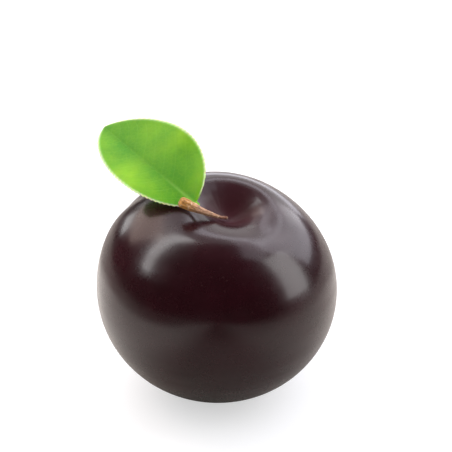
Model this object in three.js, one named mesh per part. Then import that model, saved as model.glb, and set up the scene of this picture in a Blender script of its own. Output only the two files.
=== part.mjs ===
// A dark purple plum with its short woody stalk and one green leaf, resting on a small flat spot.
// Millimetres, +Z up, origin in the middle of the flat spot. The stalk and the leaf lean towards -X.
import * as THREE from 'three';

// Fruit: a slightly squashed ball, as long, wide and tall half-axes before it is tipped.
const FRUIT_HALF_LENGTH = 29.7;
const FRUIT_HALF_WIDTH = 29.2;
const FRUIT_HALF_HEIGHT = 28.1;
const FRUIT_TIPPED_FORWARD = 4.0; // degrees, the stalk end towards -Y
const FRUIT_TIPPED_RIGHT = 4.0; // degrees, the stalk end towards +X
const FLAT_SPOT_CUT = 0.7; // how far the flat spot lies inside the round form
const FLAT_SPOT_BLEND = 0.25;

// Hollow round the stalk: a deep oval pit inside a wide shallow dip that opens towards -Y.
const PIT = { x: 1.2, y: -0.5, depth: 7.0, reachX: 7.2, reachY: 5.2 };
const DIP = { x: 2.0, y: -7.6, depth: 3.4, reachX: 12.0, reachY: 6.4 };
const HOLLOW_FADE = 0.5; // share of the half height over which the hollow fades out below the top

// Swellings of the flesh: direction from the middle, height as a share of the radius, spread.
const SWELLINGS = [
  { towards: [-0.75, 0.1, 0.62], height: 0.034, spread: 0.12 },
  { towards: [0.6, 0.3, 0.72], height: -0.012, spread: 0.14 },
  { towards: [0, 0.5, 0.85], height: 0.01, spread: 0.16 },
];

// Furrow that runs from the stalk hollow down one side to the blossom end, with a low cheek each side.
const FURROW_AT = 152; // degrees round +Z at mid height
const FURROW_DRIFT = -12; // degrees further for each radian down
const FURROW_WIDTH = 3.4;
const FURROW_DEPTH = 0.45;
const FURROW_DEPTH_LOW = 0.1;
const FURROW_DEEPEST_AT = 0.8; // radians from the stalk end
const FURROW_REACH = 0.5;
const CHEEK_SHARE = 0.35;
const CHEEK_WIDTHS = 3;

const FRUIT_SECTORS = 64;
const FRUIT_RINGS = 40;

// Stalk: a bent tapering rod from the bottom of the pit, over the rim, to a thick rounded head.
const STALK_PATH = [
  [2.2, -2.5, 48.12],
  [1.5, -5.2, 49.4],
  [-1.6, -9.75, 52.4],
  [-8.1, -9.88, 56.1],
];
const STALK_ROOT_RADIUS = 0.35;
const STALK_MIDDLE_RADIUS = 0.8;
const STALK_HEAD_RADIUS = 1.25;
const STALK_SWELLS_FROM = 0.25; // shares of its length, from the pit
const STALK_SWOLLEN_AT = 0.85;
const STALK_HEAD_FROM = 0.7;
const STALK_CAP_BULGE = 0.6; // height of the end cap as a share of its radius
const STALK_SIDES = 14;
const STALK_STATIONS = 22;
const STALK_CAP_STEPS = 4;

// Leaf: base and tip of the midrib, the way across the blade, and the way its left half folds up.
const LEAF_BASE = new THREE.Vector3(-5.20, -6.96, 54.27);
const LEAF_TIP = new THREE.Vector3(-28.0, 20.96, 61.5);
const LEAF_ACROSS = new THREE.Vector3(0.654, 0.383, 0.653).normalize();
const LEAF_UPPER_SIDE = new THREE.Vector3(0, -0.8625, 0.506).normalize();
const LEAF_THICKNESS = 0.6;
const LEAF_ARCH = 2.4;
const RIGHT_HALF = { width: 11.9, widestAt: 0.42, fullness: 1.4, fold: -0.1 };
const LEFT_HALF = { width: 7.7, widestAt: 0.58, fullness: 1.15, fold: 0.75 };
const FOLD_ROUNDING = 1.5;
const FOLD_STARTS_AT = -0.08;
const FOLD_FULL_AT = 0.34;
const EDGE_WAVE_HEIGHT = 0.35;
const EDGE_WAVES = 2.6;
const TOOTH_COUNT = 30;
const TOOTH_HEIGHT = 0.2;
const TOOTH_BAND = 6; // power that keeps the teeth to the outer part of the blade
const PETIOLE_LENGTH = 1.1;
const PETIOLE_HALF_WIDTH = 0.65;
const LEAF_STATIONS = 90; // three for each tooth
const LEAF_COLUMNS = 14; // across both halves
const BASE_FADE = 0.08; // shares of the blade's length over which teeth and waves fade out
const TIP_FADE = 0.04;
const WAVE_SHIFT = 0.1; // of a wave, between the middle and each edge
const MIDRIB_NARROWING = 0.6; // share of its width that the midrib loses on the way to the tip
const MIDRIB_NARROWED_AT = 0.5;
const NORMAL_STEP = 0.01; // shares of the blade between the points that give its upward direction
const NORMAL_SIDE_STEP = 0.05;
const NORMAL_SIDE_LIMIT = 0.9; // the teeth and the pointed tip are left out of it
const NORMAL_TIP_LIMIT = 0.97;

const FRUIT_COLOUR = 0x240a12;
const STALK_COLOUR = 0xb9814f;
const LEAF_COLOUR = 0x78b446;

function smoothStep(x) {
  const t = THREE.MathUtils.clamp(x, 0, 1);
  return t * t * (3 - 2 * t);
}

function smootherStep(x) {
  const t = THREE.MathUtils.clamp(x, 0, 1);
  return t * t * t * (t * (6 * t - 15) + 10);
}

function smoothMax(a, b, blend) {
  const near = Math.max(blend - Math.abs(a - b), 0) / blend;
  return Math.max(a, b) + (near * near * blend) / 4;
}

// Closed triangle mesh of a first point, rings of equally many points, and a last point.
function bodyOfRings(first, rings, last) {
  const count = rings[0].length;
  const points = [first, ...rings.flat(), last];
  const lastIndex = points.length - 1;
  const index = [];
  for (let i = 0; i < count; i += 1) {
    const next = (i + 1) % count;
    index.push(0, 1 + next, 1 + i);
    for (let r = 0; r < rings.length - 1; r += 1) {
      const upper = 1 + r * count;
      const lower = upper + count;
      index.push(upper + i, upper + next, lower + i);
      index.push(upper + next, lower + next, lower + i);
    }
    const bottom = 1 + (rings.length - 1) * count;
    index.push(lastIndex, bottom + i, bottom + next);
  }
  return triangleMesh(points, index);
}

function triangleMesh(points, index) {
  const geometry = new THREE.BufferGeometry().setFromPoints(points);
  geometry.setIndex(index);
  geometry.computeVertexNormals();
  return geometry;
}

// Point of the fruit's skin; round is the angle about the stalk axis, down the angle from the stalk end.
function skinPoint(round, down) {
  const half = new THREE.Vector3(FRUIT_HALF_LENGTH, FRUIT_HALF_WIDTH, FRUIT_HALF_HEIGHT);
  const direction = new THREE.Vector3(
    Math.sin(down) * Math.cos(round),
    Math.sin(down) * Math.sin(round),
    Math.cos(down),
  );
  const point = direction.clone().multiply(half);
  for (const { towards, height, spread } of SWELLINGS) {
    const facing = direction.dot(new THREE.Vector3(...towards).normalize());
    point.multiplyScalar(1 + height * Math.exp((facing - 1) / spread));
  }

  const outward = point.clone().divide(half).divide(half).normalize();
  const line = THREE.MathUtils.degToRad(FURROW_AT + FURROW_DRIFT * (down - Math.PI / 2));
  const aside = THREE.MathUtils.euclideanModulo(round - line + Math.PI, 2 * Math.PI) - Math.PI;
  const distance = (aside * Math.sin(down) * FRUIT_HALF_LENGTH) / FURROW_WIDTH;
  const away = (down - FURROW_DEEPEST_AT) / FURROW_REACH;
  const depth = FURROW_DEPTH * Math.exp(-(away ** 2)) + FURROW_DEPTH_LOW;
  const cheek = CHEEK_SHARE * Math.exp(-((distance / CHEEK_WIDTHS) ** 2));
  const relief = depth * (cheek - Math.exp(-(distance ** 2))) * Math.sqrt(Math.sin(down));
  point.addScaledVector(outward, relief);

  const top = smootherStep(direction.z / HOLLOW_FADE);
  for (const { x, y, depth: deep, reachX, reachY } of [PIT, DIP]) {
    const apart = ((point.x - x) / reachX) ** 2 + ((point.y - y) / reachY) ** 2;
    point.z -= top * deep * Math.exp(-apart);
  }

  point.applyAxisAngle(new THREE.Vector3(1, 0, 0), THREE.MathUtils.degToRad(FRUIT_TIPPED_FORWARD));
  point.applyAxisAngle(new THREE.Vector3(0, 1, 0), THREE.MathUtils.degToRad(FRUIT_TIPPED_RIGHT));
  const floor = FLAT_SPOT_CUT - FRUIT_HALF_HEIGHT;
  point.z = smoothMax(point.z, floor, FLAT_SPOT_BLEND) - floor;
  return point;
}

function fruitGeometry() {
  const rings = [];
  for (let r = 1; r < FRUIT_RINGS; r += 1) {
    const down = (Math.PI * r) / FRUIT_RINGS;
    const ring = [];
    for (let i = 0; i < FRUIT_SECTORS; i += 1) {
      ring.push(skinPoint((-2 * Math.PI * i) / FRUIT_SECTORS, down));
    }
    rings.push(ring);
  }
  return bodyOfRings(skinPoint(0, 0), rings, skinPoint(0, Math.PI));
}

function stalkRadius(along) {
  const swell = smoothStep((along - STALK_SWELLS_FROM) / (STALK_SWOLLEN_AT - STALK_SWELLS_FROM));
  const head = smoothStep((along - STALK_HEAD_FROM) / (1 - STALK_HEAD_FROM));
  const middle = STALK_ROOT_RADIUS + (STALK_MIDDLE_RADIUS - STALK_ROOT_RADIUS) * swell;
  return middle + (STALK_HEAD_RADIUS - STALK_MIDDLE_RADIUS) * head;
}

// Ring of the stalk round the path at a share of its length, with its own radius and a shift along the path.
function stalkRing(path, along, radius, shift) {
  const centre = path.getPoint(along);
  const forward = path.getTangent(along);
  const side = new THREE.Vector3(0, 0, 1).cross(forward).normalize();
  const up = forward.clone().cross(side);
  centre.addScaledVector(forward, shift);
  const ring = [];
  for (let i = 0; i < STALK_SIDES; i += 1) {
    const turn = (-2 * Math.PI * i) / STALK_SIDES;
    ring.push(centre.clone()
      .addScaledVector(side, radius * Math.cos(turn))
      .addScaledVector(up, radius * Math.sin(turn)));
  }
  return ring;
}

function stalkGeometry() {
  const path = new THREE.CubicBezierCurve3(...STALK_PATH.map((point) => new THREE.Vector3(...point)));
  const rings = [];
  for (let i = 0; i < STALK_STATIONS; i += 1) {
    const along = i / (STALK_STATIONS - 1);
    rings.push(stalkRing(path, along, stalkRadius(along), 0));
  }
  for (let i = 1; i < STALK_CAP_STEPS; i += 1) {
    const bend = (Math.PI / 2) * (i / STALK_CAP_STEPS);
    const shift = STALK_CAP_BULGE * STALK_HEAD_RADIUS * Math.sin(bend);
    rings.push(stalkRing(path, 1, STALK_HEAD_RADIUS * Math.cos(bend), shift));
  }
  const end = path.getPoint(1).addScaledVector(path.getTangent(1), STALK_CAP_BULGE * STALK_HEAD_RADIUS);
  return bodyOfRings(end, rings.reverse(), path.getPoint(0));
}

// Half width of the blade: a power law on each side of its widest place, nought at base and tip.
function halfWidth(half, along) {
  const share = THREE.MathUtils.clamp(along, 0, 1);
  const baseSide = (share / half.widestAt) ** (half.widestAt * half.fullness);
  const tipSide = ((1 - share) / (1 - half.widestAt)) ** ((1 - half.widestAt) * half.fullness);
  return half.width * baseSide * tipSide;
}

// Middle surface of the leaf; along runs from base to tip, across from -1 (left edge) to 1 (right edge).
function bladePoint(along, across) {
  const half = across < 0 ? LEFT_HALF : RIGHT_HALF;
  const share = THREE.MathUtils.clamp(along, 0, 1);
  const tooth = 1 - THREE.MathUtils.euclideanModulo(TOOTH_COUNT * share, 1);
  const inBlade = smoothStep(share / BASE_FADE) * smoothStep((1 - share) / TIP_FADE);
  const teeth = TOOTH_HEIGHT * inBlade * tooth * Math.abs(across) ** TOOTH_BAND;
  const narrowest = PETIOLE_HALF_WIDTH * (1 - MIDRIB_NARROWING * smoothStep(share / MIDRIB_NARROWED_AT));
  const width = Math.max(halfWidth(half, along), narrowest) * Math.abs(across) + teeth;
  const fold = half.fold * smoothStep((share - FOLD_STARTS_AT) / (FOLD_FULL_AT - FOLD_STARTS_AT));
  const lift = fold * (Math.hypot(width, FOLD_ROUNDING) - FOLD_ROUNDING);
  const shift = WAVE_SHIFT * Math.sign(across);
  const wave = EDGE_WAVE_HEIGHT * across * across * Math.sin(2 * Math.PI * (EDGE_WAVES * share + shift));
  const arch = LEAF_ARCH * Math.sin(Math.PI * share);
  return new THREE.Vector3()
    .lerpVectors(LEAF_BASE, LEAF_TIP, along)
    .addScaledVector(LEAF_ACROSS, Math.sign(across) * width)
    .addScaledVector(LEAF_UPPER_SIDE, lift + arch + wave * inBlade);
}

function bladeNormal(along, across) {
  const ahead = Math.min(along + NORMAL_STEP, 1);
  const lengthwise = bladePoint(ahead, across).sub(bladePoint(ahead - 2 * NORMAL_STEP, across));
  const inner = THREE.MathUtils.clamp(across, -NORMAL_SIDE_LIMIT, NORMAL_SIDE_LIMIT);
  const crosswise = bladePoint(along, inner + NORMAL_SIDE_STEP)
    .sub(bladePoint(along, inner - NORMAL_SIDE_STEP));
  return crosswise.cross(lengthwise).normalize();
}

// Blade of even thickness: two faces with the same triangles, joined by a narrow wall round the edge.
function leafGeometry() {
  const length = LEAF_BASE.distanceTo(LEAF_TIP);
  const start = -PETIOLE_LENGTH / length;
  const upper = [];
  const lower = [];
  for (let i = 0; i <= LEAF_STATIONS; i += 1) {
    const along = start + (1 - start) * (i / LEAF_STATIONS);
    for (let j = 0; j <= LEAF_COLUMNS; j += 1) {
      const across = (2 * j) / LEAF_COLUMNS - 1;
      const middle = bladePoint(along, across);
      const normal = bladeNormal(Math.min(along, NORMAL_TIP_LIMIT), across);
      upper.push(middle.clone().addScaledVector(normal, LEAF_THICKNESS / 2));
      lower.push(middle.clone().addScaledVector(normal, -LEAF_THICKNESS / 2));
    }
  }

  const row = LEAF_COLUMNS + 1;
  const below = upper.length;
  const index = [];
  for (let i = 0; i < LEAF_STATIONS; i += 1) {
    for (let j = 0; j < LEAF_COLUMNS; j += 1) {
      const a = i * row + j;
      const b = a + 1;
      const c = a + row;
      const d = c + 1;
      index.push(a, b, c, b, d, c);
      index.push(below + a, below + c, below + b, below + b, below + c, below + d);
    }
  }
  const edge = [];
  for (let j = 0; j < LEAF_COLUMNS; j += 1) edge.push(j);
  for (let i = 0; i < LEAF_STATIONS; i += 1) edge.push(i * row + LEAF_COLUMNS);
  for (let j = LEAF_COLUMNS; j > 0; j -= 1) edge.push(LEAF_STATIONS * row + j);
  for (let i = LEAF_STATIONS; i > 0; i -= 1) edge.push(i * row);
  for (let k = 0; k < edge.length; k += 1) {
    const here = edge[k];
    const next = edge[(k + 1) % edge.length];
    index.push(here, below + here, next, next, below + here, below + next);
  }
  return triangleMesh([...upper, ...lower], index);
}

function piece(name, geometry, look) {
  const mesh = new THREE.Mesh(geometry, new THREE.MeshStandardMaterial({ name, metalness: 0, ...look }));
  mesh.name = name;
  return mesh;
}

const plum = new THREE.Group();
plum.name = 'plum';
plum.add(
  piece('fruit', fruitGeometry(), { color: FRUIT_COLOUR, roughness: 0.22 }),
  piece('stalk', stalkGeometry(), { color: STALK_COLOUR, roughness: 0.75 }),
  piece('leaf', leafGeometry(), { color: LEAF_COLOUR, roughness: 0.5 }),
);

export default plum;
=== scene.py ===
"""Dark plum with its stalk and one leaf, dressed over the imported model, on a pale floor under soft light.

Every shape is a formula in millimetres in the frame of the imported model; only the mesh is in metres.
"""

import math

import bpy
import numpy as np
from bpy.props import FloatProperty, PointerProperty, StringProperty
from mathutils import Matrix, Vector


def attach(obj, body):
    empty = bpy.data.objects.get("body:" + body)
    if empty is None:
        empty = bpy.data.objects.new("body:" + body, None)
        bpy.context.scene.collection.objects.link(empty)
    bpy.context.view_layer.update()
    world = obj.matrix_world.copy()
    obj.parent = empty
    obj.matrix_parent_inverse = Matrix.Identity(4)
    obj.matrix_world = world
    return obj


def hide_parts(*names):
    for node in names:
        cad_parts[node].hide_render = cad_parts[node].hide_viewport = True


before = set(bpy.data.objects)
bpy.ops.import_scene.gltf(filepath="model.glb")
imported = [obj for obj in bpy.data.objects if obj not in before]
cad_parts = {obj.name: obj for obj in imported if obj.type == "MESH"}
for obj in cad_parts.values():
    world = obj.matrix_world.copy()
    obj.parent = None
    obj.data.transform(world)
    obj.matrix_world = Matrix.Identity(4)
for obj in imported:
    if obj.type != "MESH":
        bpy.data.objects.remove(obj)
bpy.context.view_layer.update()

bl_info = {
    "name": "Plum with stalk and leaf",
    "version": (1, 0, 0),
    "blender": (4, 5, 0),
    "location": "3D View > Sidebar > Plum",
    "description": "Adds the fruit, stalk and leaf of a dark plum and a small photo studio",
    "category": "Add Mesh",
}

MM = 0.001

# Hollow round the stalk: a deep pit and a shallow dip in its front lip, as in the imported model.
PIT_CENTRE = (1.2, -0.5)
PIT_REACH = (7.2, 5.2)
DIP_CENTRE = (2.0, -7.6)
DIP_REACH = (12.0, 6.4)
DIP_DEPTH = 3.4
HOLLOW_FADE = 0.5
PLEATS = 11
PLEAT_DEPTH = 0.02
PLEATS_START = 0.15

# Swellings of the flesh: towards where, height as a share of the radius, spread.
SWELLINGS = (
    ((-0.75, 0.10, 0.62), 0.034, 0.12),
    ((0.60, 0.30, 0.72), -0.012, 0.14),
    ((0.00, 0.50, 0.85), 0.010, 0.16),
)
UNEVEN_HEIGHT = 0.10
UNEVEN_WAVES = 12
UNEVEN_COUNTS = (3.0, 9.0)
UNEVEN_SEED = 4

# Furrow down the side that the photograph doesn't show.
FURROW_AT = math.radians(152)
FURROW_DRIFT = math.radians(-12)
FURROW_WIDTH = 3.4
FURROW_DEEPEST_AT = 0.8
FURROW_REACH = 0.5
FURROW_DEPTH_LOW = 0.1
CHEEK_SHARE = 0.35
CHEEK_WIDTHS = 3
CREASE_WIDTH = 0.5
CREASE_DEPTH = 0.03

# The fruit leans over a little, and rests on a flat spot beside the dry scar of the blossom.
LEAN = math.radians(4)
FLAT_SPOT_CUT = 0.7
FLAT_SPOT_BLEND = 0.25
SCAR_HEIGHT = 0.35
SCAR_REACH = 0.05
SCAR_DIMPLE = 0.6
SCAR_DIMPLE_REACH = 0.015
SCAR_COLOUR_REACH = 0.035
FRUIT_GRID = (241, 384)

STALK_PATH = ((2.20, -2.50, 48.12), (1.50, -5.20, 49.40), (-1.60, -9.75, 52.40), (-8.10, -9.88, 56.10))
STALK_THIN_RADIUS = 0.35
# Each swelling of the stalk: gain in radius, where it starts, over how long a share.
STALK_SWELLINGS = ((0.45, 0.25, 0.6), (0.45, 0.7, 0.3))
# Flutes along the stalk: height as a share of the radius, count, twist.
STALK_FLUTES = ((0.045, 7, 2.5), (0.02, 17, -4))
RING_HEIGHT = 0.03
RING_COUNT = 60
RINGS_FADE = (0.6, 0.3)
KNOT_HEIGHT = 0.10
KNOT_AT = 0.83
KNOT_REACH = 0.03
COLLAR_HEIGHT = 0.12
COLLAR_REACH = 0.03
HEAD_DOME = 0.6
HEAD_HOLLOW = 0.35
# Torn fibres of the head: height, count, turn.
HEAD_TEARS = ((0.10, 5, 0), (0.06, 9, 2))
HEAD_RINGS = 16
STALK_GRID = (200, 72)

LEAF_BASE = np.array((-5.20, -6.96, 54.27))
LEAF_TIP = np.array((-28.00, 20.96, 61.50))
LEAF_ACROSS = np.array((0.654, 0.383, 0.653))
LEAF_UPPER_SIDE = np.array((0.0, -0.8625, 0.506))
# Each half of the blade: half width, where it is widest, fullness, how steeply it folds up.
RIGHT_HALF = (11.9, 0.42, 1.40, -0.10)
LEFT_HALF = (7.7, 0.58, 1.15, 0.75)
LEAF_ARCH = 2.4
FOLD_ROUNDING = 1.5
FOLD_STARTS_AT = -0.08
FOLD_FULL_AT = 0.34
EDGE_WAVE_HEIGHT = 0.35
EDGE_WAVES = 2.6
TOOTH_COUNT = 30
TOOTH_HEIGHT = 0.20
TOOTH_SHARPNESS = 14
PETIOLE_LENGTH = 1.1
PETIOLE_HALF_WIDTH = 0.65
PETIOLE_ENDS_AT = 0.12
LEAF_GRID = (376, 91)

# Thickness of the leaf above and below its middle surface.
EDGE_THICKNESS = 0.08
TISSUE_THICKNESS = 0.12
EDGE_TAPER = 0.06
VEIN_GROOVE = 0.03
LATERAL_RIDGE = 0.12
MIDRIB_RIDGE = 0.40
PETIOLE_ABOVE = 0.25
PETIOLE_BELOW = 0.35

MIDRIB_WIDTH = 0.42
LATERAL_VEINS = 8
LATERAL_ANGLE = math.radians(52)
LATERAL_WIDTH = 0.16
LATERAL_BEND = 0.10
LEFT_VEINS_SHIFT = 0.35
PALE_EDGE_WIDTH = 0.42
# Yellower tissue, and painted light that makes each half lighter towards its edge: strength, towards which
# side, where along the leaf, reach.
YELLOWING_AND_LIGHT_PATCHES = ((0.55, -1.3, 0.55, 0.32), (0.6, 1.1, 0.3, 0.38))
YOUNG_BASE = 0.28
YOUNG_TIP = 0.12
VEIN_PALENESS = 0.75
LATERAL_PALENESS = 0.10

# Patterns of the materials, in repeats per metre: 1000 divided by their spacing in millimetres.
SKIN_PATCHES = 60.0  # 17 mm
SKIN_PORES = 620.0  # 1.6 mm
SKIN_WAX = 180.0  # 5.6 mm
SKIN_RIPPLES = 350.0  # 2.9 mm
SKIN_RINGS = 110.0
RING_STRETCH = (0.35, 0.35, 1.5)  # with SKIN_RINGS, 6 mm up the fruit and 26 mm along a ring
BARK_FLAKES = 1400.0  # 0.7 mm
LEAF_PATCHES = 140.0  # 7 mm
LEAF_NET = 950.0  # 1 mm

# Sockets of a Mix node, which has several of the same name.
SHARE, NUMBER_A, NUMBER_B, COLOUR_A, COLOUR_B = 0, 2, 3, 6, 7
MIXED_NUMBER, MIXED_COLOUR = 0, 2

# Camera: where the photograph was taken from, found from the fruit's size and place in it.
IMAGE_SIZE = 452
LOOKED_AT = Vector((0.0, 0.0, 27.4)) * MM
SEEN_AT = (217.0, 287.0)
CAMERA_DISTANCE = 0.356
CAMERA_ELEVATION = math.radians(30.4)
FOCAL_PIXELS = 1434.0
SENSOR = 36.0
CLIP = (0.01, 20)

WHITE = "#ffffff"
WARM = "#ffe9de"
COOL = "#f4f3fc"
# Soft panels: azimuth, elevation, distance, width, height, roll in degrees and metres, and tint.
PANELS = {
    "left_panel": (-90, 51, 0.60, 0.10, 0.66, 22, WHITE),
    "left_back_panel": (-128, 40, 0.60, 0.42, 0.38, 0, WARM),
    "low_left_panel": (-133, 15, 0.70, 0.18, 0.14, 0, WHITE),
    "right_panel": (84, 25, 0.60, 0.30, 0.48, -10, WHITE),
    "right_back_panel": (126, 34, 0.60, 0.42, 0.50, 0, COOL),
    "right_top_panel": (105, 62, 0.60, 0.50, 0.20, 0, COOL),
    "back_panel": (155, 28, 0.70, 0.56, 0.38, 0, WHITE),
    "back_left_panel": (-162, 28, 0.70, 0.44, 0.38, 0, WHITE),
    "high_back_panel": (-174, 54, 0.60, 0.46, 0.17, 0, COOL),
    "low_back_panel": (170, 6, 1.20, 0.96, 0.26, 0, COOL),
    "top_panel": (-160, 72, 0.60, 0.50, 0.26, 0, WHITE),
    "fill_panel": (-20, 48, 0.80, 0.80, 0.80, 0, WHITE),
}
NOT_MIRRORED = ("fill_panel",)
SURROUNDINGS_GLOW = 0.02

# Floor: from where to where, in metres, each change in it runs.
FLOOR_HALF = 4.0
GLOW_BEGINS = (0.015, 0.060)
GLOW_ENDS = (0.130, 0.170)
GLOW_ENDS_BEHIND = (0.055, 0.090)
LEFT_TO_RIGHT = (-0.02, 0.02)
SHADOW_FADES = (0.12, 0.50)
# Painted shade on the floor in front of the fruit, for all but the camera: darkest far in front, none near
# the fruit.
FRONT_SHADE_TO_NEAR = (-0.20, -0.03)


def linear(colour):
    """Turns an sRGB hex colour into linear red, green, blue and alpha."""
    parts = [int(colour.lstrip("#")[i:i + 2], 16) / 255 for i in (0, 2, 4)]
    return [p / 12.92 if p <= 0.04045 else ((p + 0.055) / 1.055) ** 2.4 for p in parts] + [1.0]


def add_node(tree, kind, inputs=None, **settings):
    """Adds one node; inputs maps a socket's name or number to a value or to another node's output."""
    made = tree.nodes.new(kind)
    for name, value in settings.items():
        setattr(made, name, value)
    for key, value in (inputs or {}).items():
        if isinstance(value, bpy.types.NodeSocket):
            tree.links.new(value, made.inputs[key])
        else:
            made.inputs[key].default_value = value
    return made


def new_material(name):
    """Material with an empty node tree; returns both."""
    material = bpy.data.materials.new(name)
    material.use_nodes = True
    material.node_tree.nodes.clear()
    return material, material.node_tree


def smooth_step(x):
    """Cubic step from 0 at 0 to 1 at 1."""
    x = np.clip(x, 0, 1)
    return x * x * (3 - 2 * x)


def smoother_step(x):
    """Quintic step from 0 at 0 to 1 at 1."""
    x = np.clip(x, 0, 1)
    return x**3 * (x * (6 * x - 15) + 10)


def smooth_max(a, b, blend):
    """The larger of two heights, with a rounded change where they differ by less than blend."""
    near = np.clip(blend - np.abs(a - b), 0, None) / blend
    return np.maximum(a, b) + near * near * blend / 4


def bell(x):
    """Gaussian bell of height 1 and reach 1."""
    return np.exp(-(x**2))


def unit(vector):
    """Vectors scaled to length 1."""
    vector = np.asarray(vector, float)
    return vector / np.linalg.norm(vector, axis=-1, keepdims=True)


def turn(points, axis, angle):
    """Points turned about the X (0) or Y (1) axis by the right-hand rule."""
    c, s = math.cos(angle), math.sin(angle)
    x, y, z = points[..., 0], points[..., 1], points[..., 2]
    if axis == 0:
        return np.stack((x, y * c - z * s, z * c + y * s), -1)
    return np.stack((x * c + z * s, y, z * c - x * s), -1)


def closed_piece(name, rings, start, end, attributes, material, node):
    """Closed mesh object of rings of points (stations by points by 3), closed by a point at each end.

    Neighbouring rings are joined by quads and the end points by fans; attributes are one number per ring
    point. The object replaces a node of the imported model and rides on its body.
    """
    stations, count = rings.shape[:2]
    points = np.concatenate((rings.reshape(-1, 3), [start, end])) * MM
    here = np.arange(stations * count).reshape(stations, count)
    beside = np.roll(here, -1, axis=1)
    quads = np.stack((here[:-1], beside[:-1], beside[1:], here[1:]), -1).reshape(-1, 4)
    first, last = stations * count, stations * count + 1
    fan_start = np.stack((np.full(count, first), beside[0], here[0]), -1)
    fan_end = np.stack((np.full(count, last), here[-1], beside[-1]), -1)
    corners = points[quads]
    volume = np.einsum("ij,ij->i", corners[:, 0], np.cross(corners[:, 1], corners[:, 2])).sum()
    faces = quads.tolist() + fan_start.tolist() + fan_end.tolist()
    if volume < 0:
        faces = [face[::-1] for face in faces]

    mesh = bpy.data.meshes.new(name)
    mesh.from_pydata(points.tolist(), [], faces)
    for label, values in attributes.items():
        layer = mesh.attributes.new(label, "FLOAT", "POINT")
        ends = (values[0].mean(), values[-1].mean())
        layer.data.foreach_set("value", np.concatenate((values.ravel(), ends)).astype(np.float32))
    mesh.shade_smooth()
    mesh.materials.append(material)
    piece = bpy.data.objects.new(name, mesh)
    bpy.context.scene.collection.objects.link(piece)
    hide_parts(node)
    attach(piece, "root")


def uneven(direction, waves, seed):
    """Gentle unevenness from -1 to 1 over directions: a mean of sine waves along seeded directions."""
    chance = np.random.default_rng(seed)
    axes = unit(chance.normal(size=(waves, 3)))
    counts = chance.uniform(*UNEVEN_COUNTS, waves)
    phases = chance.uniform(0, 2 * np.pi, waves)
    return np.sin(direction @ axes.T * counts + phases).mean(-1)


def pressed(points, centre, reach):
    """Gaussian patch of height 1 over X and Y, for a form that is pressed down along the axis."""
    return bell((points[..., 0] - centre[0]) / reach[0]) * bell((points[..., 1] - centre[1]) / reach[1])


def fruit_surface(size, around, down):
    """Fruit skin over the angle around the stalk axis and the angle down from the stalk end.

    An ellipsoid with Gaussian swellings; a furrow that is a Gaussian trench with a wide low cheek; a deep
    Gaussian pit and a shallow dip pressed down along the axis; then tipped and set on its flat spot.
    Returns the points, and the masks hollow, furrow and scar for the skin's colours.
    """
    half = np.array((size.half_length, size.half_width, size.half_height)) / MM
    direction = np.stack((np.sin(down) * np.cos(around), np.sin(down) * np.sin(around), np.cos(down)), -1)
    points = direction * half
    for towards, height, spread in SWELLINGS:
        points = points * (1 + height * np.exp((direction @ unit(towards) - 1) / spread))[..., None]
    outward = unit(points / half**2)

    line = FURROW_AT + FURROW_DRIFT * (down - np.pi / 2)
    aside = (around - line + np.pi) % (2 * np.pi) - np.pi
    distance = aside * np.sin(down) * half[0]
    deepest = size.furrow_depth / MM * bell((down - FURROW_DEEPEST_AT) / FURROW_REACH) + FURROW_DEPTH_LOW
    trench = bell(distance / FURROW_WIDTH)
    relief = deepest * (CHEEK_SHARE * bell(distance / (CHEEK_WIDTHS * FURROW_WIDTH)) - trench)
    relief = (relief - CREASE_DEPTH * bell(distance / CREASE_WIDTH)) * np.sqrt(np.sin(down))
    relief = relief + UNEVEN_HEIGHT * uneven(direction, UNEVEN_WAVES, UNEVEN_SEED) * np.sin(down)

    top = smoother_step(direction[..., 2] / HOLLOW_FADE)
    pit = pressed(points, PIT_CENTRE, PIT_REACH)
    dip = pressed(points, DIP_CENTRE, DIP_REACH)
    pleats = PLEAT_DEPTH * pit * np.sin(PLEATS * around + 2 * np.sin(3 * around))
    pleats = pleats * smooth_step(down / PLEATS_START)
    points = points + outward * relief[..., None]
    points[..., 2] -= top * (size.pit_depth / MM * pit + DIP_DEPTH * dip) + pleats

    points = turn(turn(points, 0, LEAN), 1, LEAN)
    floor = FLAT_SPOT_CUT - half[2]
    up = np.pi - down
    scar = SCAR_HEIGHT * bell(up / SCAR_REACH) * (1 - SCAR_DIMPLE * bell(up / SCAR_DIMPLE_REACH))
    points[..., 2] = smooth_max(points[..., 2], floor + 0 * down, FLAT_SPOT_BLEND) - floor + scar
    masks = {"hollow": top * pit, "furrow": trench * np.sin(down), "scar": bell(up / SCAR_COLOUR_REACH)}
    return points, masks


def stalk_radius(along):
    """Radius along the stalk: thin at the fruit, swelling twice on the way to a thick head."""
    radius = STALK_THIN_RADIUS
    for gain, start, length in STALK_SWELLINGS:
        radius = radius + gain * smooth_step((along - start) / length)
    return radius


def stalk_surface(along, around):
    """Stalk skin: circles carried along a cubic Bezier curve, with flutes along it, rings and a knot."""
    a, b, c, d = (np.array(p) for p in STALK_PATH)
    t = along[..., None]
    centre = (1 - t) ** 3 * a + 3 * (1 - t) ** 2 * t * b + 3 * (1 - t) * t**2 * c + t**3 * d
    forward = unit(3 * (1 - t) ** 2 * (b - a) + 6 * (1 - t) * t * (c - b) + 3 * t**2 * (d - c))
    side = unit(np.cross((0.0, 0.0, 1.0), forward))
    up = np.cross(forward, side)
    flutes = sum(height * np.sin(count * around + twist * along) for height, count, twist in STALK_FLUTES)
    fade = smooth_step((along - RINGS_FADE[0]) / RINGS_FADE[1])
    rings = RING_HEIGHT * np.sin(RING_COUNT * along + 1.5 * np.sin(around)) * fade
    knot = KNOT_HEIGHT * bell((along - KNOT_AT) / KNOT_REACH) * (0.5 + 0.5 * np.cos(around - 1.0))
    collar = COLLAR_HEIGHT * bell(along / COLLAR_REACH)
    radius = stalk_radius(along) * (1 + flutes + rings + knot + collar)
    out = side * np.cos(around)[..., None] + up * np.sin(around)[..., None]
    return centre, forward, out, radius


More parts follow.
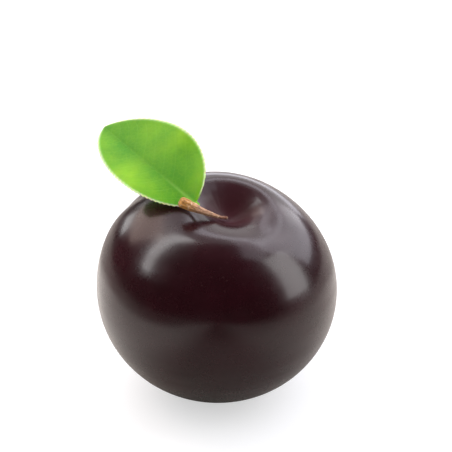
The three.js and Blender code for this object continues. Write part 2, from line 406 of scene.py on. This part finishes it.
def head_dome(centre, forward, out, radius, around):
    """End of the stalk: a dome over the last ring that sinks and tears in its middle.

    Its height is the sine and its width the cosine of the bend, from the rim to the middle.
    Returns the rings of points and the bend and the turn of each point.
    """
    bend, turned = np.meshgrid(np.linspace(0, np.pi / 2, HEAD_RINGS + 2)[1:-1], around, indexing="ij")
    (coarse, few, _), (fine, many, shift) = HEAD_TEARS
    torn = 1 + coarse * np.sin(few * turned) * np.sin(bend) + fine * np.sin(many * turned + shift)
    sunk = HEAD_HOLLOW * bell(np.cos(bend) / 0.35)
    push = HEAD_DOME * radius * np.sin(bend) * torn - sunk
    return centre + out * (radius * np.cos(bend))[..., None] + forward * push[..., None], bend, turned


def half_width(half, along):
    """Half width of the blade: a power law on each side of its widest place, nought at base and tip."""
    width, widest, fullness = half[:3]
    share = np.clip(along, 0, 1)
    base_side = (share / widest) ** (widest * fullness)
    return width * base_side * ((1 - share) / (1 - widest)) ** ((1 - widest) * fullness)


def blade_surface(along, across):
    """Middle surface of the leaf: a straight midrib with an arch, halves that fold and wave, toothed edge.

    Each half rises by its fold times a hyperbola of the distance from the midrib, and a sine wave runs
    along its edge; a tooth is a smooth ramp that ends in a step. Returns the points and that distance.
    """
    share = np.clip(along, 0, 1)
    right = across >= 0
    side = np.sign(across)
    phase = TOOTH_COUNT * share
    tooth = 1 - phase % 1
    tooth = smooth_step(tooth * 1.15) * 0.9 + 0.1 * tooth
    in_blade = smooth_step(share / 0.08) * smooth_step((1 - share) / 0.04)
    teeth = TOOTH_HEIGHT * in_blade * tooth * np.abs(across) ** TOOTH_SHARPNESS
    narrowest = PETIOLE_HALF_WIDTH * (1 - 0.6 * smooth_step(share / 0.5))
    width = np.where(right, half_width(RIGHT_HALF, along), half_width(LEFT_HALF, along))
    width = np.maximum(width, narrowest) * np.abs(across) + teeth
    fold = np.where(right, RIGHT_HALF[3], LEFT_HALF[3])
    fold = fold * smooth_step((share - FOLD_STARTS_AT) / (FOLD_FULL_AT - FOLD_STARTS_AT))
    lift = fold * (np.hypot(width, FOLD_ROUNDING) - FOLD_ROUNDING)
    wave = EDGE_WAVE_HEIGHT * across**2 * np.sin(2 * np.pi * (EDGE_WAVES * share + 0.1 * side))
    arch = LEAF_ARCH * np.sin(np.pi * share)
    rise = lift + arch + wave * in_blade
    middle = LEAF_BASE + along[..., None] * (LEAF_TIP - LEAF_BASE)
    return middle + (side * width)[..., None] * LEAF_ACROSS + rise[..., None] * LEAF_UPPER_SIDE, width


def vein_relief(along, width, across):
    """Height of the midrib and of the slanting laterals, 0 to 1 each; the laterals bend near the edge.

    The midrib is a Gaussian of the distance from the middle. The laterals are Gaussians of the distance to
    the nearest of evenly spaced slanting lines, and they fade at the edge, the base and the tip.
    """
    length = np.linalg.norm(LEAF_TIP - LEAF_BASE)
    share = np.clip(along, 0, 1)
    midrib = bell(width / (MIDRIB_WIDTH * (1 - 0.65 * share)))
    reach = width / (math.tan(LATERAL_ANGLE) * length) + LATERAL_BEND * np.abs(across) ** 3
    shift = np.where(across < 0, LEFT_VEINS_SHIFT, 0.0)
    phase = (share - reach) * (LATERAL_VEINS + 2 * share) + shift
    spacing = length / LATERAL_VEINS * math.sin(LATERAL_ANGLE)
    distance = np.abs((phase + 0.5) % 1 - 0.5) * spacing
    ends = smooth_step(share / 0.05) * smooth_step((1 - share) / 0.1)
    lateral = bell(distance / LATERAL_WIDTH) * smooth_step((1 - np.abs(across)) / 0.25) * ends
    return midrib, lateral


def leaf_faces(middle, share, across, midrib, lateral):
    """Upper and lower face of the leaf, off its middle surface along the normal.

    The tissue thins at the edge. Veins are grooves above and ridges below, and the petiole is an ellipse
    round the middle line that runs out into the blade.
    """
    normal = unit(np.cross(np.gradient(middle, axis=1), np.gradient(middle, axis=0)) + 1e-12)
    body = EDGE_THICKNESS + TISSUE_THICKNESS * smooth_step((1 - np.abs(across)) / EDGE_TAPER)
    stem = 1 - smooth_step(share / PETIOLE_ENDS_AT)
    blade = 1 - stem
    round_stem = stem * np.sqrt(1 - across**2)
    upper = body - VEIN_GROOVE * lateral - VEIN_GROOVE * midrib * blade + PETIOLE_ABOVE * round_stem
    ridges = LATERAL_RIDGE * lateral + MIDRIB_RIDGE * midrib * (1 - 0.6 * share) * blade
    lower = body + ridges + PETIOLE_BELOW * round_stem
    return middle + normal * upper[..., None], middle - normal * lower[..., None]


def leaf_masks(along, share, across, midrib, lateral):
    """Masks for the leaf's colours, 0 to 1: pale veins, thin edge, yellower tissue with painted light, and
    the upper side.

    The edge is a Gaussian of the distance to the rim. The yellower tissue is a Gaussian patch on each half,
    with a little more towards the tip; the patches are partly painted light, lighter towards the edge of each
    half than along the midrib. Each mask is laid over the upper face and back over the lower.
    """
    midrib_fade = 1 - 0.85 * smooth_step((share - 0.1) / 0.3)
    veins = np.maximum(VEIN_PALENESS * midrib * midrib_fade, LATERAL_PALENESS * lateral)
    to_rim = half_width(RIGHT_HALF, along) * (1 - np.abs(across))
    edge = bell(to_rim / PALE_EDGE_WIDTH) * smooth_step(share / 0.03)
    young = YOUNG_BASE
    # Partly painted light: each patch grows towards the edge of its half, so the halves read lighter there.
    for strength, side, place, reach in YELLOWING_AND_LIGHT_PATCHES:
        young = young + strength * smooth_step(side * across) * bell((share - place) / reach)
    masks = {"vein": veins, "edge": edge, "young": young + YOUNG_TIP * share}
    masks = {label: np.concatenate((mask, mask[:, ::-1]), axis=1) for label, mask in masks.items()}
    masks["upper"] = np.concatenate((np.ones_like(across), np.zeros_like(across)), axis=1)
    return masks


def skin_material(settings):
    """Plum skin: thin wax over deep purple-red flesh; gives a soft gloss, a faint bloom, tiny pale pores."""
    material, tree = new_material("waxed plum skin")
    place = add_node(tree, "ShaderNodeTexCoord").outputs["Object"]
    hollow, furrow, scar = (
        add_node(tree, "ShaderNodeAttribute", attribute_name=name).outputs["Fac"]
        for name in ("hollow", "furrow", "scar"))

    patches = add_node(tree, "ShaderNodeTexNoise", {
        "Vector": place, "Scale": SKIN_PATCHES, "Detail": 4.0, "Roughness": 0.6})
    blush = add_node(tree, "ShaderNodeMapRange", {
        "Value": patches.outputs["Fac"], "From Min": 0.4, "From Max": 0.65})
    body = add_node(tree, "ShaderNodeMix", {
        SHARE: blush.outputs[0], COLOUR_A: linear(settings.dark_colour),
        COLOUR_B: linear(settings.red_colour)}, data_type="RGBA")
    red = add_node(tree, "ShaderNodeMath", {0: furrow, 1: 0.35}, operation="MULTIPLY")
    with_furrow = add_node(tree, "ShaderNodeMix", {
        SHARE: red.outputs[0], COLOUR_A: body.outputs[MIXED_COLOUR],
        COLOUR_B: linear(settings.furrow_colour)}, data_type="RGBA")
    with_hollow = add_node(tree, "ShaderNodeMix", {
        SHARE: hollow, COLOUR_A: with_furrow.outputs[MIXED_COLOUR],
        COLOUR_B: linear(settings.hollow_colour)}, data_type="RGBA")
    pores = add_node(tree, "ShaderNodeTexVoronoi", {"Vector": place, "Scale": SKIN_PORES, "Randomness": 1.0})
    pore = add_node(tree, "ShaderNodeMapRange", {
        "Value": pores.outputs["Distance"], "From Min": 0.10, "From Max": 0.16, "To Min": 1.0, "To Max": 0.0})
    pore_share = add_node(tree, "ShaderNodeMath", {0: pore.outputs[0], 1: 0.08}, operation="MULTIPLY")
    with_pores = add_node(tree, "ShaderNodeMix", {
        SHARE: pore_share.outputs[0], COLOUR_A: with_hollow.outputs[MIXED_COLOUR],
        COLOUR_B: linear(settings.pore_colour)}, data_type="RGBA")
    with_scar = add_node(tree, "ShaderNodeMix", {
        SHARE: scar, COLOUR_A: with_pores.outputs[MIXED_COLOUR],
        COLOUR_B: linear(settings.scar_colour)}, data_type="RGBA")

    wax = add_node(tree, "ShaderNodeTexNoise", {
        "Vector": place, "Scale": SKIN_WAX, "Detail": 5.0, "Roughness": 0.65})
    rubbed = add_node(tree, "ShaderNodeMapRange", {
        "Value": wax.outputs["Fac"], "From Min": 0.3, "From Max": 0.7, "To Min": 0.24, "To Max": 0.32})
    # The bloom is rubbed off the skin outside, and stays in the hollow, which is duller for it.
    in_hollow = add_node(tree, "ShaderNodeMapRange", {"Value": hollow, "From Min": 0.15, "From Max": 0.6})
    rough = add_node(tree, "ShaderNodeMix", {
        SHARE: in_hollow.outputs[0], NUMBER_A: rubbed.outputs[0], NUMBER_B: 0.5})
    coat = add_node(tree, "ShaderNodeMapRange", {"Value": in_hollow.outputs[0], "To Min": 0.6, "To Max": 0.0})

    ripple = add_node(tree, "ShaderNodeTexNoise", {"Vector": place, "Scale": SKIN_RIPPLES, "Detail": 3.0})
    fine_bump = add_node(tree, "ShaderNodeBump", {
        "Height": ripple.outputs["Fac"], "Strength": 0.12, "Distance": 0.0001})
    # The skin swells in faint rings round the fruit, which draw the reflections out into streaks.
    rings = add_node(tree, "ShaderNodeMapping", {"Vector": place, "Scale": RING_STRETCH})
    swelling = add_node(tree, "ShaderNodeTexNoise", {
        "Vector": rings.outputs["Vector"], "Scale": SKIN_RINGS, "Detail": 1.0})
    bump = add_node(tree, "ShaderNodeBump", {
        "Height": swelling.outputs["Fac"], "Strength": 0.5, "Distance": 0.0010,
        "Normal": fine_bump.outputs["Normal"]})
    shader = add_node(tree, "ShaderNodeBsdfPrincipled", {
        "Base Color": with_scar.outputs[MIXED_COLOUR], "Roughness": rough.outputs[MIXED_NUMBER], "IOR": 1.35,
        "Coat Weight": coat.outputs[0], "Coat Roughness": 0.17, "Coat IOR": 1.4,
        "Normal": bump.outputs["Normal"]})
    add_node(tree, "ShaderNodeOutputMaterial", {"Surface": shader.outputs[0]})
    return material


def stalk_material(settings):
    """Dry woody stalk: matt bark, red-brown at the fruit and tan to orange at the head, fine dark grain."""
    material, tree = new_material("dry plum stalk")
    place = add_node(tree, "ShaderNodeTexCoord").outputs["Object"]
    along, around = (
        add_node(tree, "ShaderNodeAttribute", attribute_name=name).outputs["Fac"]
        for name in ("along", "around"))

    root = add_node(tree, "ShaderNodeMapRange", {"Value": along, "From Min": 0.15, "From Max": 0.5})
    lower = add_node(tree, "ShaderNodeMix", {
        SHARE: root.outputs[0], COLOUR_A: linear(settings.root_colour),
        COLOUR_B: linear(settings.bark_colour)}, data_type="RGBA")
    head = add_node(tree, "ShaderNodeMapRange", {"Value": along, "From Min": 0.8, "From Max": 0.95})
    whole = add_node(tree, "ShaderNodeMix", {
        SHARE: head.outputs[0], COLOUR_A: lower.outputs[MIXED_COLOUR],
        COLOUR_B: linear(settings.head_colour)}, data_type="RGBA")

    # The grain runs along the stalk, so it is drawn on the stalk's own length and turn: lines 1 mm long.
    skin = add_node(tree, "ShaderNodeCombineXYZ", {"X": along, "Y": around})
    stretch = add_node(tree, "ShaderNodeMapping", {"Vector": skin.outputs[0], "Scale": (9.0, 7.0, 1.0)})
    grain = add_node(tree, "ShaderNodeTexNoise", {"Vector": stretch.outputs[0], "Scale": 1.6, "Detail": 5.0})
    dark = add_node(tree, "ShaderNodeMapRange", {
        "Value": grain.outputs["Fac"], "From Min": 0.46, "From Max": 0.66, "To Max": 0.75})
    grained = add_node(tree, "ShaderNodeMix", {
        SHARE: dark.outputs[0], COLOUR_A: whole.outputs[MIXED_COLOUR],
        COLOUR_B: linear(settings.grain_colour)}, data_type="RGBA")
    # Pale flakes of dead bark.
    flakes = add_node(tree, "ShaderNodeTexNoise", {"Vector": place, "Scale": BARK_FLAKES, "Detail": 2.0})
    flake = add_node(tree, "ShaderNodeMapRange", {
        "Value": flakes.outputs["Fac"], "From Min": 0.58, "From Max": 0.68, "To Max": 0.7})
    flaked = add_node(tree, "ShaderNodeMix", {
        SHARE: flake.outputs[0], COLOUR_A: grained.outputs[MIXED_COLOUR],
        COLOUR_B: linear(settings.flake_colour)}, data_type="RGBA")

    bump = add_node(tree, "ShaderNodeBump", {
        "Height": grain.outputs["Fac"], "Strength": 0.5, "Distance": 0.0002})
    shader = add_node(tree, "ShaderNodeBsdfPrincipled", {
        "Base Color": flaked.outputs[MIXED_COLOUR], "Roughness": 0.6, "IOR": 1.45,
        "Normal": bump.outputs["Normal"]})
    add_node(tree, "ShaderNodeOutputMaterial", {"Surface": shader.outputs[0]})
    return material


def leaf_material(settings):
    """Fresh leaf: satin cuticle over green tissue that lets light through; pale veins, edge, underside."""
    material, tree = new_material("fresh plum leaf")
    place = add_node(tree, "ShaderNodeTexCoord").outputs["Object"]
    vein, edge, young, upper = (
        add_node(tree, "ShaderNodeAttribute", attribute_name=name).outputs["Fac"]
        for name in ("vein", "edge", "young", "upper"))

    patches = add_node(tree, "ShaderNodeTexNoise", {"Vector": place, "Scale": LEAF_PATCHES, "Detail": 4.0})
    # Painted light in part: the yellower colour comes in more towards the edge of each half.
    yellow = add_node(tree, "ShaderNodeMath", {0: patches.outputs["Fac"], 1: young}, operation="MULTIPLY")
    yellow_share = add_node(tree, "ShaderNodeMapRange", {
        "Value": yellow.outputs[0], "From Min": 0.1, "From Max": 0.6})
    tissue = add_node(tree, "ShaderNodeMix", {
        SHARE: yellow_share.outputs[0], COLOUR_A: linear(settings.green_colour),
        COLOUR_B: linear(settings.yellowing_and_light_colour)}, data_type="RGBA")
    # The net of the finest veins.
    net = add_node(tree, "ShaderNodeTexVoronoi", {"Vector": place, "Scale": LEAF_NET},
                   feature="DISTANCE_TO_EDGE")
    net_line = add_node(tree, "ShaderNodeMapRange", {
        "Value": net.outputs["Distance"], "From Max": 0.08, "To Min": 0.15, "To Max": 0.0})
    netted = add_node(tree, "ShaderNodeMix", {
        SHARE: net_line.outputs[0], COLOUR_A: tissue.outputs[MIXED_COLOUR],
        COLOUR_B: linear(settings.yellowing_and_light_colour)}, data_type="RGBA")
    veined = add_node(tree, "ShaderNodeMix", {
        SHARE: vein, COLOUR_A: netted.outputs[MIXED_COLOUR],
        COLOUR_B: linear(settings.vein_colour)}, data_type="RGBA")
    edged = add_node(tree, "ShaderNodeMix", {
        SHARE: edge, COLOUR_A: veined.outputs[MIXED_COLOUR],
        COLOUR_B: linear(settings.edge_colour)}, data_type="RGBA")
    sided = add_node(tree, "ShaderNodeMix", {
        SHARE: upper, COLOUR_A: linear(settings.underside_colour),
        COLOUR_B: edged.outputs[MIXED_COLOUR]}, data_type="RGBA")

    bump = add_node(tree, "ShaderNodeBump", {
        "Height": net.outputs["Distance"], "Strength": 0.25, "Distance": 0.00015})
    shader = add_node(tree, "ShaderNodeBsdfPrincipled", {
        "Base Color": sided.outputs[MIXED_COLOUR], "Roughness": 0.55, "IOR": 1.33,
        "Subsurface Weight": 0.9, "Subsurface Radius": (0.4, 1.0, 0.15), "Subsurface Scale": 0.0008,
        "Normal": bump.outputs["Normal"]})
    add_node(tree, "ShaderNodeOutputMaterial", {"Surface": shader.outputs[0]})
    return material


def floor_material(settings):
    """Matt studio board: pale where the camera sees it, and glowing at both sides of the fruit like a
    light table, which gives the fruit's sides their pale rims."""
    material, tree = new_material("matt studio board")
    seen = add_node(tree, "ShaderNodeLightPath").outputs["Is Camera Ray"]
    coordinates = add_node(tree, "ShaderNodeTexCoord").outputs["Object"]
    place = add_node(tree, "ShaderNodeSeparateXYZ", {0: coordinates})

    aside = add_node(tree, "ShaderNodeMath", {0: place.outputs["X"]}, operation="ABSOLUTE")
    begin = add_node(tree, "ShaderNodeMapRange", {
        "Value": aside.outputs[0], "From Min": GLOW_BEGINS[0], "From Max": GLOW_BEGINS[1]},
        interpolation_type="SMOOTHSTEP")
    end = add_node(tree, "ShaderNodeMapRange", {
        "Value": aside.outputs[0], "From Min": GLOW_ENDS[0], "From Max": GLOW_ENDS[1],
        "To Min": 1.0, "To Max": 0.0}, interpolation_type="SMOOTHSTEP")
    behind = add_node(tree, "ShaderNodeMapRange", {
        "Value": place.outputs["Y"], "From Min": GLOW_ENDS_BEHIND[0], "From Max": GLOW_ENDS_BEHIND[1],
        "To Min": 1.0, "To Max": 0.0}, interpolation_type="SMOOTHSTEP")
    side = add_node(tree, "ShaderNodeMapRange", {
        "Value": place.outputs["X"], "From Min": LEFT_TO_RIGHT[0], "From Max": LEFT_TO_RIGHT[1],
        "To Min": settings.left_glow, "To Max": settings.right_glow})
    table = add_node(tree, "ShaderNodeMath", {0: end.outputs[0], 1: behind.outputs[0]}, operation="MULTIPLY")
    strongest = add_node(tree, "ShaderNodeMath", {0: side.outputs[0], 1: table.outputs[0]},
                         operation="MULTIPLY")
    lit = add_node(tree, "ShaderNodeMath", {0: begin.outputs[0], 1: strongest.outputs[0]},
                   operation="MULTIPLY")
    distance = add_node(tree, "ShaderNodeVectorMath", {0: coordinates}, operation="LENGTH")
    whiteness = add_node(tree, "ShaderNodeMapRange", {
        "Value": distance.outputs["Value"], "From Min": SHADOW_FADES[0], "From Max": SHADOW_FADES[1],
        "To Min": settings.floor_glow})
    glow = add_node(tree, "ShaderNodeMix", {
        SHARE: seen, NUMBER_A: lit.outputs[0], NUMBER_B: whiteness.outputs[0]})

    # Painted shade: for all but the camera, the floor is darker far in front of the fruit than near it.
    near = add_node(tree, "ShaderNodeMapRange", {
        "Value": place.outputs["Y"], "From Min": FRONT_SHADE_TO_NEAR[0], "From Max": FRONT_SHADE_TO_NEAR[1]})
    mirrored = add_node(tree, "ShaderNodeMix", {
        SHARE: near.outputs[0], COLOUR_A: linear(settings.front_shade_colour),
        COLOUR_B: linear(settings.mirrored_colour)}, data_type="RGBA")
    paint = add_node(tree, "ShaderNodeMix", {
        SHARE: seen, COLOUR_A: mirrored.outputs[MIXED_COLOUR],
        COLOUR_B: linear(settings.floor_colour)}, data_type="RGBA")
    tint = add_node(tree, "ShaderNodeMix", {
        SHARE: seen, COLOUR_A: linear(settings.glow_colour), COLOUR_B: linear(WHITE)}, data_type="RGBA")
    board = add_node(tree, "ShaderNodeBsdfPrincipled", {
        "Base Color": paint.outputs[MIXED_COLOUR], "Roughness": 0.9, "Specular IOR Level": 0.1,
        "Emission Color": tint.outputs[MIXED_COLOUR], "Emission Strength": glow.outputs[MIXED_NUMBER]})
    add_node(tree, "ShaderNodeOutputMaterial", {"Surface": board.outputs[0]})
    return material


class PlumFruitSettings(bpy.types.PropertyGroup):
    """Sizes and colours of the fruit."""
    half_length: FloatProperty(name="Half length", description="Half of the fruit's size along X",
                               default=0.0297, unit="LENGTH")
    half_width: FloatProperty(name="Half width", description="Half of the fruit's size along Y",
                              default=0.0292, unit="LENGTH")
    half_height: FloatProperty(name="Half height", description="Half of the fruit's size along its axis",
                               default=0.0281, unit="LENGTH")
    pit_depth: FloatProperty(name="Pit depth", description="Depth of the pit round the stalk",
                             default=0.0070, unit="LENGTH")
    furrow_depth: FloatProperty(name="Furrow depth", description="Depth of the furrow where it is deepest",
                                default=0.00045, unit="LENGTH")
    dark_colour: StringProperty(name="Dark skin", description="sRGB colour of the darkest skin",
                                default="#24080e")
    red_colour: StringProperty(name="Red skin", description="sRGB colour of the redder patches",
                               default="#2c0b13")
    furrow_colour: StringProperty(name="Furrow", description="sRGB colour along the furrow",
                                  default="#381214")
    hollow_colour: StringProperty(name="Hollow", description="sRGB colour of the skin round the stalk",
                                  default="#431a22")
    pore_colour: StringProperty(name="Pores", description="sRGB colour of the pores", default="#6d4a4a")
    scar_colour: StringProperty(name="Scar", description="sRGB colour of the dry blossom scar",
                                default="#6b4a30")


class PlumStalkSettings(bpy.types.PropertyGroup):
    """Colours of the stalk."""
    root_colour: StringProperty(name="Root", description="sRGB colour where the stalk leaves the fruit",
                                default="#835040")
    bark_colour: StringProperty(name="Bark", description="sRGB colour of the middle of the stalk",
                                default="#bd9070")
    head_colour: StringProperty(name="Head", description="sRGB colour of the thick head", default="#c88f4c")
    grain_colour: StringProperty(name="Grain", description="sRGB colour of the dark grain",
                                 default="#4c2a18")
    flake_colour: StringProperty(name="Flakes", description="sRGB colour of the pale flakes of bark",
                                 default="#e2c8a4")


class PlumLeafSettings(bpy.types.PropertyGroup):
    """Colours of the leaf."""
    green_colour: StringProperty(name="Green", description="sRGB colour of the full-grown tissue",
                                 default="#428e0a")
    # Laid on by a mask that is partly painted light, lighter towards the edge of each half; also the colour
    # of the net of fine veins.
    yellowing_and_light_colour: StringProperty(name="Young", description="sRGB colour of the yellower tissue",
                                 default="#8cbd14")
    vein_colour: StringProperty(name="Veins", description="sRGB colour of the veins", default="#86bb48")
    edge_colour: StringProperty(name="Edge", description="sRGB colour of the thin pale edge",
                                default="#dce6b8")
    underside_colour: StringProperty(name="Underside", description="sRGB colour of the underside",
                                     default="#86b252")


class PlumStudioSettings(bpy.types.PropertyGroup):
    """Floor of the small studio, and the radiance of each of its panels."""
    floor_colour: StringProperty(name="Floor", description="sRGB colour of the floor", default="#bebec0")
    mirrored_colour: StringProperty(name="Mirrored floor", default="#a09b95",
                                    description="sRGB colour of the floor in reflections")
    # Painted shade on the floor far in front of the fruit, for all but the camera.
    front_shade_colour: StringProperty(name="Floor in front", default="#5a5652",
                                 description="sRGB colour of the floor far in front, in reflections")
    glow_colour: StringProperty(name="Glow", description="sRGB colour of the light table's glow",
                                default="#fffaf4")
    floor_glow: FloatProperty(name="Floor glow", default=0.55,
                              description="Whiteness added where the camera sees the floor")
    left_glow: FloatProperty(name="Left glow", description="Glow of the floor on the left of the fruit",
                             default=0.8)
    right_glow: FloatProperty(name="Right glow", description="Glow of the floor on the right of the fruit",
                              default=0.45)
    left_panel: FloatProperty(name="Left", description="Tall strip on the left", default=8.5)
    left_back_panel: FloatProperty(name="Left back", description="Warm panel behind on the left",
                                   default=2.6)
    low_left_panel: FloatProperty(name="Low left", description="Small panel low on the left", default=3.8)
    right_panel: FloatProperty(name="Right", description="Panel on the right", default=4.5)
    right_back_panel: FloatProperty(name="Right back", description="Panel behind on the right", default=3.2)
    right_top_panel: FloatProperty(name="Right top", description="Panel high on the right", default=1.9)
    back_panel: FloatProperty(name="Back", description="Panel behind", default=1.2)
    back_left_panel: FloatProperty(name="Back left", description="Panel behind, a little to the left",
                                   default=0.95)
    high_back_panel: FloatProperty(name="High back", description="Strip high behind", default=3.4)
    low_back_panel: FloatProperty(name="Low back", description="Wide strip low behind", default=2.8)
    top_panel: FloatProperty(name="Top", description="Panel above", default=0.7)
    fill_panel: FloatProperty(name="Fill", description="Fill panel, not seen in reflections", default=1.4)


class PLUM_OT_add_fruit(bpy.types.Operator):
    """Add the fruit with its hollow, furrow and blossom scar"""
    bl_idname = "plum.add_fruit"
    bl_label = "Add fruit"

    def execute(self, context):
        settings = context.scene.plum_fruit
        rows, columns = FRUIT_GRID
        down, around = np.meshgrid(np.linspace(0, np.pi, rows),
                                   np.linspace(0, 2 * np.pi, columns + 1)[:-1], indexing="ij")
        points, masks = fruit_surface(settings, around, down)
        masks = {label: mask[1:-1] for label, mask in masks.items()}
        closed_piece("plum_fruit", points[1:-1], points[0, 0], points[-1, 0], masks,
                     skin_material(settings), "fruit")
        return {"FINISHED"}


class PLUM_OT_add_stalk(bpy.types.Operator):
    """Add the bent woody stalk with its thick head"""
    bl_idname = "plum.add_stalk"
    bl_label = "Add stalk"

    def execute(self, context):
        rows, columns = STALK_GRID
        share, around = np.meshgrid(np.linspace(0, 1, rows),
                                    np.linspace(0, 2 * np.pi, columns + 1)[:-1], indexing="ij")
        centre, forward, out, radius = stalk_surface(share, around)
        bark = centre + out * radius[..., None]
        dome, bend, turned = head_dome(centre[-1], forward[-1], out[-1], radius[-1], around[0])
        rings = np.concatenate((bark, dome))
        along = np.concatenate((share, 1 + 0.1 * np.sin(bend)))
        turns = np.concatenate((around, turned)) / (2 * np.pi)
        masks = {"along": along, "around": np.sin(np.pi * turns)}
        closed_piece("plum_stalk", rings, centre[0, 0], dome[-1].mean(0), masks,
                     stalk_material(context.scene.plum_stalk), "stalk")
        return {"FINISHED"}


class PLUM_OT_add_leaf(bpy.types.Operator):
    """Add the folded toothed leaf with its veins and short petiole"""
    bl_idname = "plum.add_leaf"
    bl_label = "Add leaf"

    def execute(self, context):
        rows, columns = LEAF_GRID
        length = np.linalg.norm(LEAF_TIP - LEAF_BASE)
        # Columns are closer near both edges, where the teeth are.
        across_line = np.sin(np.linspace(-np.pi / 2, np.pi / 2, columns))
        across_line = 0.5 * across_line + 0.5 * np.linspace(-1, 1, columns)
        along, across = np.meshgrid(np.linspace(-PETIOLE_LENGTH / length, 1, rows), across_line,
                                    indexing="ij")
        share = np.clip(along, 0, 1)
        middle, width = blade_surface(along, across)
        midrib, lateral = vein_relief(along, width, across)
        top, bottom = leaf_faces(middle, share, across, midrib, lateral)
        rings = np.concatenate((top, bottom[:, ::-1]), axis=1)
        masks = leaf_masks(along, share, across, midrib, lateral)
        closed_piece("plum_leaf", rings, rings[0].mean(0), rings[-1].mean(0), masks,
                     leaf_material(context.scene.plum_leaf), "leaf")
        return {"FINISHED"}


def softbox(name, azimuth, elevation, distance, width, height, roll, tint, radiance):
    """Rectangular panel light that faces the fruit; azimuth 0 is the camera's side, positive to the right."""
    a, e = math.radians(azimuth), math.radians(elevation)
    towards = Vector((math.sin(a) * math.cos(e), -math.cos(a) * math.cos(e), math.sin(e)))
    data = bpy.data.lights.new(name, "AREA")
    data.shape = "RECTANGLE"
    data.size, data.size_y = width, height
    data.energy = math.pi * width * height * radiance
    data.color = linear(tint)[:3]
    panel = bpy.data.objects.new(name, data)
    facing = towards.to_track_quat("Z", "Y").to_matrix().to_4x4()
    rolled = facing @ Matrix.Rotation(math.radians(roll), 4, "Z")
    panel.matrix_world = Matrix.Translation(LOOKED_AT + distance * towards) @ rolled
    panel.visible_camera = False
    panel.visible_glossy = name not in NOT_MIRRORED
    bpy.context.scene.collection.objects.link(panel)


def photo_camera():
    """Camera that looks down at the fruit and sees its middle at the photograph's own place for it.

    The view direction is the one to the middle of the fruit, turned by the angle between the image's
    middle and the pixel where the fruit's middle is seen.
    """
    back = Vector((0, -math.cos(CAMERA_ELEVATION), math.sin(CAMERA_ELEVATION)))
    right, up = Vector((1, 0, 0)), Vector((0, math.sin(CAMERA_ELEVATION), math.cos(CAMERA_ELEVATION)))
    middle = IMAGE_SIZE / 2
    ahead = -back + (middle - SEEN_AT[0]) / FOCAL_PIXELS * right + (SEEN_AT[1] - middle) / FOCAL_PIXELS * up
    ahead.normalize()
    right = ahead.cross(Vector((0, 0, 1))).normalized()
    up = right.cross(ahead)
    data = bpy.data.cameras.new("camera")
    data.sensor_width = SENSOR
    data.lens = FOCAL_PIXELS * SENSOR / IMAGE_SIZE
    data.clip_start, data.clip_end = CLIP
    camera = bpy.data.objects.new("camera", data)
    turned = Matrix((right, up, -ahead)).transposed().to_4x4()
    camera.matrix_world = Matrix.Translation(LOOKED_AT + CAMERA_DISTANCE * back) @ turned
    bpy.context.scene.collection.objects.link(camera)
    return camera


def studio_world():
    """White surroundings for the camera, and nearly dark ones for the light on the fruit."""
    world = bpy.data.worlds.new("studio surroundings")
    world.use_nodes = True
    tree = world.node_tree
    tree.nodes.clear()
    path = add_node(tree, "ShaderNodeLightPath")
    dim = add_node(tree, "ShaderNodeBackground", {"Color": linear(WHITE), "Strength": SURROUNDINGS_GLOW})
    pale = add_node(tree, "ShaderNodeBackground", {"Color": linear(WHITE), "Strength": 1.0})
    sky = add_node(tree, "ShaderNodeMixShader", {
        0: path.outputs["Is Camera Ray"], 1: dim.outputs[0], 2: pale.outputs[0]})
    add_node(tree, "ShaderNodeOutputWorld", {"Surface": sky.outputs[0]})
    return world


class PLUM_OT_set_studio(bpy.types.Operator):
    """Add the pale floor, the soft panels, the surroundings and the camera"""
    bl_idname = "plum.set_studio"
    bl_label = "Set up studio"

    def execute(self, context):
        settings = context.scene.plum_studio
        far = FLOOR_HALF
        mesh = bpy.data.meshes.new("studio_floor")
        mesh.from_pydata([(-far, -far, 0), (far, -far, 0), (far, far, 0), (-far, far, 0)], [], [(0, 1, 2, 3)])
        mesh.materials.append(floor_material(settings))
        floor = bpy.data.objects.new("studio_floor", mesh)
        context.scene.collection.objects.link(floor)
        for name, placing in PANELS.items():
            softbox(name, *placing, getattr(settings, name))
        context.scene.world = studio_world()
        context.scene.view_settings.view_transform = "Standard"
        context.scene.camera = photo_camera()
        return {"FINISHED"}


SETTINGS = {"plum_fruit": PlumFruitSettings, "plum_stalk": PlumStalkSettings,
            "plum_leaf": PlumLeafSettings, "plum_studio": PlumStudioSettings}
OPERATORS = (PLUM_OT_add_fruit, PLUM_OT_add_stalk, PLUM_OT_add_leaf, PLUM_OT_set_studio)


class PLUM_PT_panel(bpy.types.Panel):
    """Sidebar panel that lists the pieces and the studio"""
    bl_label = "Plum"
    bl_idname = "PLUM_PT_panel"
    bl_space_type = "VIEW_3D"
    bl_region_type = "UI"
    bl_category = "Plum"

    def draw(self, context):
        for group, operator in zip(SETTINGS, OPERATORS):
            box = self.layout.box()
            settings = getattr(context.scene, group)
            for name in settings.bl_rna.properties.keys():
                if name not in ("rna_type", "name"):
                    box.prop(settings, name)
            box.operator(operator.bl_idname)


def register():
    for name, group in SETTINGS.items():
        bpy.utils.register_class(group)
        setattr(bpy.types.Scene, name, PointerProperty(type=group))
    for item in (*OPERATORS, PLUM_PT_panel):
        bpy.utils.register_class(item)


def unregister():
    for item in reversed((*OPERATORS, PLUM_PT_panel)):
        bpy.utils.unregister_class(item)
    for name, group in reversed(SETTINGS.items()):
        delattr(bpy.types.Scene, name)
        bpy.utils.unregister_class(group)


def main():
    register()
    bpy.ops.plum.add_fruit()
    bpy.ops.plum.add_stalk()
    bpy.ops.plum.add_leaf()
    bpy.ops.plum.set_studio()


if __name__ == "__main__":
    main()
